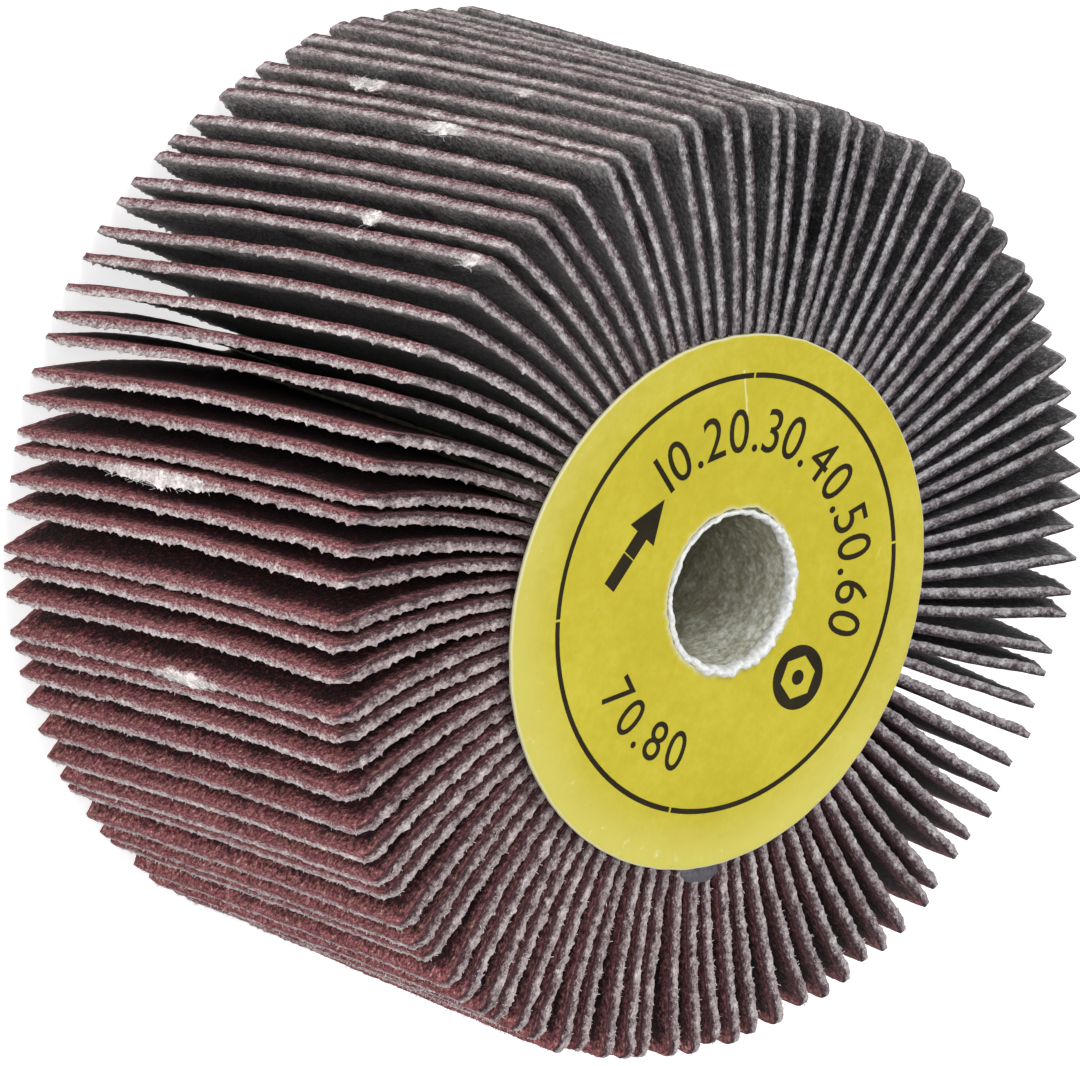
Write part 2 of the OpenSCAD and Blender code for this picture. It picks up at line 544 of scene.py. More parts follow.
def fibreMaterial():
    material, tree, shader = newMaterial("looseFibre")
    place = addNode(tree, "ShaderNodeTexCoord").outputs["Object"]
    tone = noiseField(tree, place, 1300.0, 0.0, 2.0)
    colour = ramp(tree, spread(tree, tone, -1.0, 1.0), [
        (0.0, (0.32, 0.26, 0.26)),
        (0.4, (0.56, 0.53, 0.52)),
        (1.0, (0.86, 0.86, 0.84)),
    ])
    tree.links.new(colour, shader.inputs["Base Color"])
    shader.inputs["Roughness"].default_value = 0.85
    shader.inputs["Specular IOR Level"].default_value = 0.15
    return material


def leafOutline(rootX, step, coarse, inset, freeX):
    # once round the leaf, inset from its cut edge: rear edge, tip, front edge, then the root side
    low, high, tip = inset, leafHeight - inset, flap["tipRadius"] - inset
    turn = max(0.05, flap["cornerRadius"] - inset)
    ends = tip - turn
    rootCount = round((freeX - rootX) / coarse)
    points = [(x, low) for x in np.linspace(rootX, freeX, rootCount, endpoint=False)]
    straight = max(2, round((ends - freeX) / step))
    points += [(x, low) for x in np.linspace(freeX, ends, straight, endpoint=False)]
    bendCount = max(2, round(turn * math.pi / 2 / step))
    for angle in np.linspace(-math.pi / 2, 0, bendCount, endpoint=False):
        points.append((ends + turn * math.cos(angle), low + turn + turn * math.sin(angle)))
    lowHalf = list(points)
    count = max(2, round((high - low - 2 * turn) / step))
    points += [(tip, low + turn + (high - low - 2 * turn) * k / count) for k in range(count + 1)]
    points += [(x, high - (z - low)) for x, z in reversed(lowHalf)]
    return points


def makeLeafBlank():
    # one flat leaf: two faces a cloth's thickness apart, joined by the cut edge
    rootX = coreRadius - flap["rootDepth"]
    freeX = coreRadius - 0.2
    step = flap["fineStep"]
    rings = [
        leafOutline(rootX, step, 0.6, 0.0, freeX),
        leafOutline(rootX + 0.01, 1.5 * step, 0.6, 0.24, freeX),
        leafOutline(rootX + 0.02, 4 * step, 0.8, 0.78, freeX),
    ]
    coarse = flap["coarseStep"]
    inside = [
        (x, z)
        for x in np.arange(rootX + 0.8, flap["tipRadius"] - 1.6, coarse)
        for z in np.arange(1.9, leafHeight - 1.5, coarse)
    ]
    plan = [Vector(p) for ring in rings for p in ring] + [Vector(p) for p in inside]
    found, _, triangles, origins, _, _ = delaunay_2d_cdt(plan, [], [], 0, 1e-6)
    count, ringCount = len(found), len(rings[0])
    firstOf = {came[0]: k for k, came in enumerate(origins) if came}
    rim = [firstOf[k] for k in range(ringCount)]
    half = flap["thickness"] / 2

    edge = np.zeros(count)
    outward = np.zeros((count, 2))
    for k in range(ringCount):
        along = (Vector(rings[0][(k + 1) % ringCount]) - Vector(rings[0][k - 1])).normalized()
        edge[rim[k]] = 1.0
        outward[rim[k]] = (along.y, -along.x)
    for k in range(len(rings[1])):
        where = firstOf[ringCount + k]
        nearest = min(range(ringCount), key=lambda j: (Vector(rings[0][j]) - found[where]).length)
        edge[where] = 0.35
        outward[where] = outward[rim[nearest]]

    # points in layers from the grain face to the cloth face, those between on the rim alone
    layers = [(-1.0, range(count)), (1.0, range(count))]
    layers += [(2.0 * strip / flap["strips"] - 1.0, rim) for strip in range(1, flap["strips"])]
    made = [(share, k) for share, layer in layers for k in layer]
    points = [(found[k].x, share * half, found[k].y) for share, k in made]
    rows = [rim]
    for strip in range(1, flap["strips"]):
        first = 2 * count + (strip - 1) * ringCount
        rows.append(list(range(first, first + ringCount)))
    rows.append([k + count for k in rim])
    faces = [tuple(t) for t in triangles] + [tuple(k + count for k in reversed(t)) for t in triangles]
    flatFrom = len(faces)
    for below, above in zip(rows, rows[1:]):
        for k in range(ringCount):
            after = (k + 1) % ringCount
            faces.append((below[k], below[after], above[after], above[k]))
    blank = meshObject("leafBlank", np.array(points) * mm, faces)
    shape = bmesh.new()
    shape.from_mesh(blank.data)
    bmesh.ops.recalc_face_normals(shape, faces=shape.faces)
    shape.to_mesh(blank.data)
    shape.free()
    blank.data.polygons.foreach_set("use_smooth", [k < flatFrom for k in range(len(faces))])
    pointValues(blank.data, "across", [share for share, k in made])
    pointValues(blank.data, "edge", [edge[k] for share, k in made])
    pointValues(blank.data, "outward", [(outward[k][0], 0.0, outward[k][1]) for share, k in made],
                "FLOAT_VECTOR")
    return blank


def flapValues(clothing, strand):
    return {
        "First Flap": 0,
        "Flap Count": 2,
        "Flaps Round": 2 * len(pairNames),
        "Core Radius": coreRadius * mm,
        "Tip Radius": flap["tipRadius"] * mm,
        "Height": leafHeight * mm,
        "Lean": math.radians(flap["lean"]),
        "Lean Swing": math.radians(flap["leanSwing"]),
        "Lean Peak": math.radians(flap["leanPeak"]),
        "Skew": math.radians(flap["skew"]),
        "Skew Swing": math.radians(flap["skewSwing"]),
        "Skew Peak": math.radians(flap["skewPeak"]),
        "Tip Scatter": math.radians(flap["tipScatter"]),
        "Length Scatter": flap["lengthScatter"] * mm,
        "End Scatter": flap["endScatter"] * mm,
        "Bend Power": flap["bendPower"],
        "Skew Power": flap["skewPower"],
        "Even Share": flap["evenShare"],
        "Rag": flap["rag"] * mm,
        "Ragged Side": math.radians(flap["raggedSide"]),
        "Narrow Side": math.radians(flap["narrowSide"]),
        "Sharp Side": math.radians(flap["sharpSide"]),
        "Corner Radius": flap["cornerRadius"] * mm,
        "Teeth": flap["teeth"] * mm,
        "Wave": flap["wave"] * mm,
        "Tuft": lint["tuft"] * mm,
        "Thin Tip": flap["thinTip"],
        "Thin Reach": flap["thinReach"] * mm,
        "Cloth": clothing,
        "Fibre": strand,
    }


def unevenField(number, seed):
    # the same repeatable uneven value as the solids have, from -1 to 1
    return ((number * number * 53.7 + number * 211.3 + 97.1 * seed) * math.radians(1.0)).sin()


def named(tree, name, kind="FLOAT"):
    node = addNode(tree, "GeometryNodeInputNamedAttribute", data_type=kind)
    node.inputs["Name"].default_value = name
    return Field(tree, node.outputs["Attribute"])


def keepAs(tree, geometry, name, value, kind="FLOAT", domain="POINT"):
    node = addNode(tree, "GeometryNodeStoreNamedAttribute", domain=domain, data_type=kind)
    node.inputs["Name"].default_value = name
    tree.links.new(geometry, node.inputs["Geometry"])
    wire(tree, value, node.inputs["Value"])
    return node.outputs[0]


def copiesOn(tree, points, instance):
    node = addNode(tree, "GeometryNodeInstanceOnPoints")
    tree.links.new(points, node.inputs["Points"])
    tree.links.new(instance, node.inputs["Instance"])
    return node


def passThrough(tree, kind, geometry):
    node = addNode(tree, kind)
    tree.links.new(geometry, node.inputs[0])
    return node.outputs[0]


def withMaterial(tree, geometry, material):
    node = addNode(tree, "GeometryNodeSetMaterial")
    tree.links.new(geometry, node.inputs["Geometry"])
    wire(tree, material, node.inputs["Material"])
    return node.outputs[0]


def tuftField(tree, number, z, x):
    # 1 in the middle of each torn tuft on its own flap's tip, 0 elsewhere
    total = None
    for angle, low, high in lint["tufts"]:
        middle, half = (low + high) / 2, (high - low) / 2
        onFlap = 1.0 - (number - float(nearestFlap(angle, middle))).math("ABSOLUTE").below(1.0)
        along = (z - middle * mm) / (half * mm)
        swell = onFlap * (1.0 - along * along).above(0.0)
        total = swell if total is None else total + swell
    nearTip = ((x - (flap["tipRadius"] - 1.5) * mm) / mm).above(0.0).below(1.0)
    uneven = noiseField(tree, joinVector(tree, 0.0, 0.0, z), 900.0, number, 2.0, 0.7) * 1.1 + 0.75
    return total * nearTip * uneven.above(0.0)


def flapTree(values):
    tree, blank, given, end = startTree("flapPair", values)
    # a copy of the leaf for each flap, numbered round the wheel
    line = addNode(tree, "GeometryNodeMeshLine")
    wire(tree, given["Flap Count"], line.inputs["Count"])
    line.inputs["Offset"].default_value = (0.0, 0.0, 0.0)
    copies = copiesOn(tree, line.outputs[0], blank).outputs[0]
    index = Field(tree, addNode(tree, "GeometryNodeInputIndex").outputs[0])
    copies = keepAs(tree, copies, "flapNumber", index + given["First Flap"], domain="INSTANCE")
    leaves = passThrough(tree, "GeometryNodeRealizeInstances", copies)
    flat = addNode(tree, "GeometryNodeInputPosition").outputs[0]
    leaves = keepAs(tree, leaves, "sheet", flat, "FLOAT_VECTOR")

    number = named(tree, "flapNumber")
    across = named(tree, "across")
    edge = named(tree, "edge")
    outX, _, outZ = splitVector(tree, named(tree, "outward", "FLOAT_VECTOR"))
    x, y, z = splitVector(tree, flat)
    flatZ = z
    free = (x - given["Core Radius"]).above(0.0) / (given["Tip Radius"] - given["Core Radius"])
    loose = (free * 6.0).below(1.0)

    at = number / given["Flaps Round"] * math.tau
    ragged = (at - given["Ragged Side"]).cos() * 0.35 + 0.65
    # the torn edge: out and in along the leaf, thicker or thinner, with teeth on the cloth side
    seed = number * 3.7
    outRag = noiseField(tree, flat, 2300.0, seed, 2.0, 0.6) * 0.6 \
        + noiseField(tree, flat, 520.0, seed + 11.0, 1.0) * 0.4
    sideRag = noiseField(tree, flat, 1700.0, seed + 23.0, 2.0, 0.6)
    tooth = noiseField(tree, joinVector(tree, x, 0.0, z), 2700.0, seed + 37.0, 1.0).above(0.0)
    tuft = tuftField(tree, number, z, x)
    leaves = keepAs(tree, leaves, "tuft", tuft)
    fray = edge * (outRag + across * 0.35) * given["Rag"] * loose * ragged
    swell = edge * sideRag * (across * 0.4 + 0.6) * given["Rag"] * (ragged * 0.6 + 0.4) \
        + edge * across.above(0.0) * (tooth * given["Teeth"] * (ragged + tuft) + tuft * given["Tuft"])
    wave = noiseField(tree, flat, 95.0, seed + 5.0, 2.0, 0.6) * free.below(1.0) * given["Wave"]
    # the outer corners wear thin: the cloth side recedes towards the grain
    fromTip = given["Tip Radius"] - x
    rearCorner = (fromTip * fromTip + z * z) ** 0.5 / given["Thin Reach"]
    fromFront = given["Height"] - z
    frontCorner = (fromTip * fromTip + fromFront * fromFront) ** 0.5 / given["Thin Reach"]
    sheared = ((at - given["Ragged Side"]).cos() * 1.8 - 0.6).above(0.0).below(1.0)
    left = 1.0 - (1.0 - given["Thin Tip"]) * (1.0 - rearCorner.below(1.0)) * sheared
    sharp = ((at - given["Sharp Side"]).cos() * 2.2 - 1.15).above(0.0).below(0.70)
    narrow = ((at - given["Narrow Side"]).cos() * 2.0 - 1.0).above(0.0)
    frontReach = (frontCorner * (2.4 - narrow * 1.75)).below(1.0)
    left = left.math("MINIMUM", 1.0 - (0.5 + narrow * 0.3) * (1.0 - frontReach))
    thinned = (y + flap["thickness"] / 2 * mm) * (left - 1.0)
    # the rear corners are nearly square, and so are the front ones across from the torn side
    cornerX = (x - (given["Tip Radius"] - given["Corner Radius"])).above(0.0)
    cornerTop = (z - (given["Height"] - given["Corner Radius"])).above(0.0)
    cornerLow = (given["Corner Radius"] - z).above(0.0)
    cornerZ = cornerTop + cornerLow
    reach = (cornerX * cornerX + cornerZ * cornerZ) ** 0.5
    square = (reach / cornerX.math("MAXIMUM", cornerZ).above(0.001 * mm) - 1.0).above(0.0).below(0.42)
    squareLow = cornerLow.math("GREATER_THAN", 0.0) * sheared * 0.9
    square = square * sharp.math("MAXIMUM", squareLow)
    x = x + outX * fray + cornerX * square
    z = z + outZ * fray + (cornerTop - cornerLow) * square
    y = y + (swell * left + wave) * loose + thinned

    # each flap's own length and seat, then its bend and its place round the wheel
    x = x - free * given["Length Scatter"] * (unevenField(number, 1) + 1.0) * 0.5
    depth = (1.0 - z / given["Height"]).above(0.0)
    built = depth * given["Even Share"] + depth * depth * (1.0 - given["Even Share"])
    lean = given["Lean"] + given["Lean Swing"] * (at - given["Lean Peak"]).cos() \
        + given["Tip Scatter"] * unevenField(number, 2)
    skew = built * (given["Skew"] + given["Skew Swing"] * (at - given["Skew Peak"]).cos())
    turn = lean * free ** given["Bend Power"] + skew * free ** given["Skew Power"]
    rise = lean * given["Bend Power"] * free ** (given["Bend Power"] - 1.0) \
        + skew * given["Skew Power"] * free.above(0.02) ** (given["Skew Power"] - 1.0) * loose
    slope = (x * rise / (given["Tip Radius"] - given["Core Radius"])).math("ARCTANGENT")
    tilt = turn + slope
    bentX = x * turn.cos() - y * tilt.sin()
    bentY = x * turn.sin() + y * tilt.cos()
    seatZ = (z + given["End Scatter"] * (unevenField(number, 3) + 1.0) * 0.5).above(0.02 * mm)
    roundX = bentX * at.cos() - bentY * at.sin()
    roundY = bentX * at.sin() + bentY * at.cos()
    placed = addNode(tree, "GeometryNodeSetPosition")
    tree.links.new(leaves, placed.inputs["Geometry"])
    tree.links.new(joinVector(tree, roundX, roundY, seatZ), placed.inputs["Position"])
    clothed = withMaterial(tree, placed.outputs[0], given["Cloth"])

    # loose fibres stand out of the torn edge, most of them on the cloth side
    offFloor = (flatZ - 0.7 * mm).math("GREATER_THAN", 0.0)
    onEdge = (edge - 0.9).math("GREATER_THAN", 0.0) * across.math("GREATER_THAN", 0.2) * loose * offFloor
    scattered = addNode(tree, "GeometryNodeDistributePointsOnFaces")
    tree.links.new(placed.outputs[0], scattered.inputs["Mesh"])
    wire(tree, onEdge * fibre["density"], scattered.inputs["Density"])
    wire(tree, given["First Flap"], scattered.inputs["Seed"])
    strand = addNode(tree, "GeometryNodeCurvePrimitiveBezierSegment")
    strand.inputs["Resolution"].default_value = fibre["segments"]
    strand.inputs["Start"].default_value = (0.0, 0.0, 0.0)
    strand.inputs["Start Handle"].default_value = (0.0, 0.0, 0.4 * fibre["length"] * mm)
    strand.inputs["End Handle"].default_value = (fibre["curl"] * mm, 0.0, 0.7 * fibre["length"] * mm)
    strand.inputs["End"].default_value = (2.4 * fibre["curl"] * mm, 0.0, fibre["length"] * mm)
    tube = tubeAlong(tree, strand.outputs[0], fibre["thickness"])
    tip = addNode(tree, "FunctionNodeRandomValue", data_type="FLOAT_VECTOR")
    tip.inputs["Min"].default_value = (-fibre["lean"], -fibre["lean"], 0.0)
    tip.inputs["Max"].default_value = (fibre["lean"], fibre["lean"], math.tau)
    size = addNode(tree, "FunctionNodeRandomValue", data_type="FLOAT")
    size.inputs[2].default_value = 0.35
    size.inputs[3].default_value = 1.25
    standing = addNode(tree, "FunctionNodeRotateRotation", rotation_space="LOCAL")
    tree.links.new(scattered.outputs["Rotation"], standing.inputs[0])
    tree.links.new(tip.outputs[0], standing.inputs[1])
    strands = copiesOn(tree, scattered.outputs["Points"], tube)
    tree.links.new(standing.outputs[0], strands.inputs["Rotation"])
    tree.links.new(size.outputs[1], strands.inputs["Scale"])
    fuzz = passThrough(tree, "GeometryNodeRealizeInstances", strands.outputs[0])
    fuzz = withMaterial(tree, fuzz, given["Fibre"])
    joined = addNode(tree, "GeometryNodeJoinGeometry")
    tree.links.new(fuzz, joined.inputs[0])
    tree.links.new(clothed, joined.inputs[0])
    tree.links.new(joined.outputs[0], end)
    return tree


def tubeAlong(tree, curve, thickness):
    # a three-sided tube, closed at its ends
    outline = addNode(tree, "GeometryNodeCurvePrimitiveCircle")
    outline.inputs["Resolution"].default_value = 3
    outline.inputs["Radius"].default_value = thickness / 2 * mm
    tube = addNode(tree, "GeometryNodeCurveToMesh")
    tree.links.new(curve, tube.inputs["Curve"])
    tree.links.new(outline.outputs[0], tube.inputs["Profile Curve"])
    tube.inputs["Fill Caps"].default_value = True
    return tube.outputs[0]


fibre = dict(
    density=1.6e7, segments=1,                            # a square metre of the edge's cloth side
    length=0.15, curl=0.03, thickness=0.045, lean=1.1,    # mm; the lean in radians
)


def makeFlaps(clothing, strand):
    blank = makeLeafBlank()
    values = flapValues(clothing, strand)
    tree = flapTree(values)
    for k, node in enumerate(pairNames):
        piece = bpy.data.objects.new("flapPair%02d" % (k + 1), blank.data.copy())
        bpy.context.scene.collection.objects.link(piece)
        runTree(piece, tree, values | {"First Flap": 2 * k})
        finishPiece(piece, [node])
    bpy.data.objects.remove(blank)
    pairs = [o for o in bpy.data.objects if o.name.startswith("flapPair")]
    print("flaps made:", sum(len(o.data.loop_triangles) for o in pairs), "triangles")


cottonStrand = fibreMaterial()
makeFlaps(clothMaterial(), cottonStrand)


def makeLintSeats():
    # one narrow strip for each tuft, along the cloth side of its flap's edge
    points, faces, widths = [], [], []
    for angle, low, high in lint["tufts"]:
        number = nearestFlap(angle, (low + high) / 2)
        steps = max(2, round((high - low) / 0.5))
        half = math.degrees(flap["thickness"] / 2 / flap["tipRadius"])
        radius = flap["tipRadius"] - flap["lengthScatter"] * (1 + unevenValue(number, 1)) / 2
        first = len(points)
        for k in range(steps + 1):
            z = low + (high - low) * k / steps
            swell = math.sin(math.pi * (k + 0.5) / (steps + 1))
            for share in (0.0, 1.0):
                turn = math.radians(tipAngle(number, z) + half * (0.2 + share * (0.9 + 1.5 * swell)))
                out = radius + 0.05 - share * 0.25
                points.append((out * math.cos(turn) * mm, out * math.sin(turn) * mm, z * mm))
                widths.append(lint["density"] * swell)
        for k in range(steps):
            a = first + 2 * k
            faces.append((a, a + 1, a + 3, a + 2))
    seats = meshObject("lint", points, faces)
    pointValues(seats.data, "density", widths)
    return seats


def lintTree(values):
    tree, seats, given, end = startTree("lint", values)
    scattered = addNode(tree, "GeometryNodeDistributePointsOnFaces")
    tree.links.new(seats, scattered.inputs["Mesh"])
    wire(tree, named(tree, "density"), scattered.inputs["Density"])
    wire(tree, given["Seed"], scattered.inputs["Seed"])
    line = addNode(tree, "GeometryNodeCurvePrimitiveLine")
    line.inputs["Start"].default_value = (0.0, 0.0, -0.5)
    line.inputs["End"].default_value = (0.0, 0.0, 0.5)
    bent = addNode(tree, "GeometryNodeResampleCurve")
    tree.links.new(line.outputs[0], bent.inputs["Curve"])
    wire(tree, given["Points"], bent.inputs["Count"])
    strands = copiesOn(tree, scattered.outputs["Points"], bent.outputs[0])
    turn = addNode(tree, "FunctionNodeRandomValue", data_type="FLOAT_VECTOR")
    turn.inputs["Min"].default_value = (-lint["tilt"], -lint["tilt"], 0.0)
    turn.inputs["Max"].default_value = (lint["tilt"], lint["tilt"], math.tau)
    tree.links.new(turn.outputs[0], strands.inputs["Rotation"])
    size = addNode(tree, "FunctionNodeRandomValue", data_type="FLOAT")
    size.inputs[2].default_value = lint["shortest"] * mm
    wire(tree, given["Length"], size.inputs[3])
    tree.links.new(size.outputs[1], strands.inputs["Scale"])
    index = addNode(tree, "GeometryNodeInputIndex").outputs[0]
    loose = keepAs(tree, strands.outputs[0], "strand", index, domain="INSTANCE")
    loose = passThrough(tree, "GeometryNodeRealizeInstances", loose)
    # every strand curls its own way
    place = addNode(tree, "GeometryNodeInputPosition").outputs[0]
    strand = named(tree, "strand") * 7.3
    sway = joinVector(tree, *[noiseField(tree, place, 1100.0, strand + shift, 1.0) * given["Curl"]
                              for shift in (0.0, 31.0, 67.0)])
    curled = addNode(tree, "GeometryNodeSetPosition")
    tree.links.new(loose, curled.inputs["Geometry"])
    tree.links.new(sway, curled.inputs["Offset"])
    tangle = tubeAlong(tree, curled.outputs[0], lint["thickness"])
    tangle = passThrough(tree, "GeometryNodeRealizeInstances", tangle)
    tree.links.new(withMaterial(tree, tangle, given["Fibre"]), end)
    return tree


def makeLint():
    values = {
        "Seed": 4,
        "Points": lint["points"],
        "Length": lint["length"] * mm,
        "Curl": lint["curl"] * mm,
        "Fibre": cottonStrand,
    }
    piece = runTree(makeLintSeats(), lintTree(values), values)
    finishPiece(piece)
    print("lint made:", len(piece.data.polygons), "faces")


makeLint()


# Cast resin: the core, the rough crust of its bore, and a run of resin by the paper

crust = dict(
    turns=300, wallRows=70,
    lump=0.22, grit=0.05, tear=0.26,                 # mm
    heavySide=62.0,                                  # degrees: where the mouth tore most, and the side of the bore given painted light
)


def resinMaterial(name, stops, roughness, mouthLightFrom):
    # mouthLightFrom: the height in mm above which the wall is painted paler, as painted light towards the
    # bore's mouth and painted shade deeper in
    material, tree, shader = newMaterial(name)
    place = addNode(tree, "ShaderNodeTexCoord").outputs["Object"]
    x, y, upZ = splitVector(tree, place)
    side = math.radians(crust["heavySide"])
    # painted light: towardsLight is highest on the wall towards heavySide, which is painted paler
    towardsLight = (x * math.cos(side) + y * math.sin(side)) / (boreRadius * mm)
    lumps = noiseField(tree, place, 800.0, 0.0, 3.0, 0.6)
    pits = noiseField(tree, place, 3200.0, 3.0, 2.0, 0.6)
    # painted light towards the mouth and on the heavySide wall, painted shade deeper in the bore, and the
    # rear end face paler as its own worn colour
    dustAndPaintedLight = spread(tree, upZ, mouthLightFrom * mm, frontZ * mm) * 0.3 + spread(tree, upZ, 0.6 * mm, 0.0) * 0.5 \
        + spread(tree, towardsLight, -0.5, 1.2) * spread(tree, upZ, mouthLightFrom * mm, frontZ * mm) * 0.65
    colour = ramp(tree, spread(tree, lumps * 0.45 + pits * 0.5 + dustAndPaintedLight, -0.9, 1.2), stops)
    torn = attributeField(tree, "torn") + pits * 0.25
    white = ramp(tree, spread(tree, pits, -1.2, 1.0), [
        (0.0, (0.42, 0.43, 0.41)),
        (0.5, (0.68, 0.69, 0.67)),
        (1.0, (0.88, 0.88, 0.86)),
    ])
    colour = mixColour(tree, spread(tree, torn, 0.35, 0.7), colour, white)
    tree.links.new(colour, shader.inputs["Base Color"])
    shader.inputs["Roughness"].default_value = roughness
    bump(tree, lumps + pits * 0.4, 0.4, 0.00022, shader)
    return material


def makeBoreCrust(material):
    # (radius, height, how torn) once round the section: up the bore, over its mouth, back inside
    mouth = frontZ - 0.55
    depths = (1.0 - np.linspace(0.0, 1.0, crust["wallRows"])) ** 1.6 * (mouth - 0.05)
    section = [(boreRadius + 0.14, 0.05, 0.0)]
    section += [(boreRadius - 0.06, mouth - depth, 0.0) for depth in depths]
    section += [
        (boreRadius - 0.16, frontZ - 0.30, 0.55),
        (boreRadius - 0.20, frontZ - 0.05, 0.9),
        (boreRadius - 0.18, paperZ - 0.10, 1.0),
        (boreRadius - 0.12, paperZ + 0.10, 1.0),
        (boreRadius + 0.04, paperZ + 0.20, 1.0),
        (boreRadius + 0.20, paperZ + 0.17, 1.0),
        (boreRadius + 0.34, paperZ + 0.06, 1.0),
        (boreRadius + 0.40, paperZ - 0.08, 1.0),
        (boreRadius + 0.14, frontZ - 0.10, 0.5),
        (boreRadius + 0.14, frontZ - 0.60, 0.0),
    ]
    points, torn = [], []
    for radius, z, share in section:
        for k in range(crust["turns"]):
            turn = math.tau * k / crust["turns"]
            heavy = 0.56 + 0.44 * math.cos(turn - math.radians(crust["heavySide"]))
            unit = Vector((math.cos(turn), math.sin(turn), 0.0))
            spot = unit * boreRadius + Vector((0.0, 0.0, z))
            out, up = radius, z
            if radius < boreRadius + 0.1 or share > 0.8:
                out -= crust["lump"] * abs(noise.noise(spot * 1.1)) + crust["grit"] * noise.noise(spot * 4.0)
            if share == 1.0 and radius > boreRadius:
                out -= (radius - boreRadius - 0.02) * (1.0 - heavy)
                up -= 0.10 * (1.0 - heavy)
            if share > 0.5:
                ragged = noise.noise(spot * Vector((1.6, 1.6, 0.4)) + Vector((7, 3, 1))) \
                    + 0.6 * noise.noise(spot * 4.5)
                out += crust["tear"] * ragged * share * heavy
                up += crust["tear"] * (noise.noise(spot * 2.3) + 0.4) * share * heavy
            points.append((out * unit.x * mm, out * unit.y * mm, up * mm))
            torn.append(share)
    turns, rows = crust["turns"], len(section)
    faces = [
        (row * turns + k, row * turns + (k + 1) % turns,
         (row + 1) % rows * turns + (k + 1) % turns, (row + 1) % rows * turns + k)
        for row in range(rows)
        for k in range(turns)
    ]
    piece = meshObject("boreCrust", points, faces, [material])
    pointValues(piece.data, "torn", torn)
    shape = bmesh.new()
    shape.from_mesh(piece.data)
    bmesh.ops.recalc_face_normals(shape, faces=shape.faces)
    shape.to_mesh(piece.data)
    shape.free()
    shadeSmooth(piece)
    finishPiece(piece)


def dressCore(material):
    slots = bpy.data.objects["resin_core"].material_slots
    for slot in slots:
        slot.material = material


run = dict(angle=20.5, sweep=5.2, inner=16.2, outer=18.7, rise=0.10, depth=1.3)    # degrees; mm


def makeResinRun(material):
    # resin that crept out between a few flaps and set there
    columns, rows = 40, 26
    points = []
    for side in (1.0, -1.0):
        for row in range(rows):
            v = 2.0 * row / (rows - 1) - 1.0
            for column in range(columns):
                u = 2.0 * column / (columns - 1) - 1.0
                reach = math.sqrt(max(0.0, 1.0 - u * u))
                turn = math.radians(run["angle"] + run["sweep"] * u)
                middle = (run["inner"] + run["outer"]) / 2
                radius = middle + (run["outer"] - run["inner"]) / 2 * v * (0.35 + 0.65 * reach)
                spot = Vector((radius * math.cos(turn), radius * math.sin(turn), 0.0))
                rim = max(0.0, 1.0 - max(abs(u), abs(v)) ** 3)
                top = flap["width"] - 0.15 + run["rise"] * rim * 2 + 0.18 * noise.noise(spot * 0.9) * rim
                z = top if side > 0 else top - run["depth"] * rim - 0.02
                points.append((spot.x * mm, spot.y * mm, z * mm))
    sheetCount = rows * columns
    faces = []
    for side in (0, 1):
        for row in range(rows - 1):
            for column in range(columns - 1):
                a = side * sheetCount + row * columns + column
                quad = (a, a + 1, a + columns + 1, a + columns)
                faces.append(quad if side == 0 else quad[::-1])
    rim = [k for k in range(columns)]
    rim += [row * columns + columns - 1 for row in range(1, rows)]
    rim += [(rows - 1) * columns + k for k in range(columns - 2, -1, -1)]
    rim += [row * columns for row in range(rows - 2, 0, -1)]
    for a, b in zip(rim, rim[1:] + rim[:1]):
        faces.append((a, a + sheetCount, b + sheetCount, b))
    piece = meshObject("resinRun", points, faces, [material])
    outwardFaces(piece)
    shadeSmooth(piece)
    finishPiece(piece)


paleResin = resinMaterial("castResin", [
    (0.0, (0.085, 0.070, 0.038)),
    (0.4, (0.175, 0.154, 0.088)),
    (0.7, (0.36, 0.345, 0.250)),
    (1.0, (0.76, 0.785, 0.74)),
], 0.62, 12.0)
greyResin = resinMaterial("setRun", [
    (0.0, (0.018, 0.015, 0.020)),
    (0.5, (0.044, 0.038, 0.048)),
    (1.0, (0.115, 0.105, 0.125)),
], 0.35, 30.0)
dressCore(paleResin)
makeBoreCrust(paleResin)
makeResinRun(greyResin)
print("resin made")


# Paper disc

disc = dict(
    centreX=(discLow.x + discHigh.x) / 2 / mm,       # mm
    centreY=(discLow.y + discHigh.y) / 2 / mm,
    radius=(discHigh.x - discLow.x) / 2 / mm,
    holeRadius=5.2, tear=0.16,
    curl=0.10, curlFrom=0.84,                        # the edge lifts a little past this share
    turns=360, rubbedSide=350.0,                     # degrees: where the margin is palest
    scratchFrom=(-12.8, -5.2), scratchTo=(-10.2, -3.6),
)


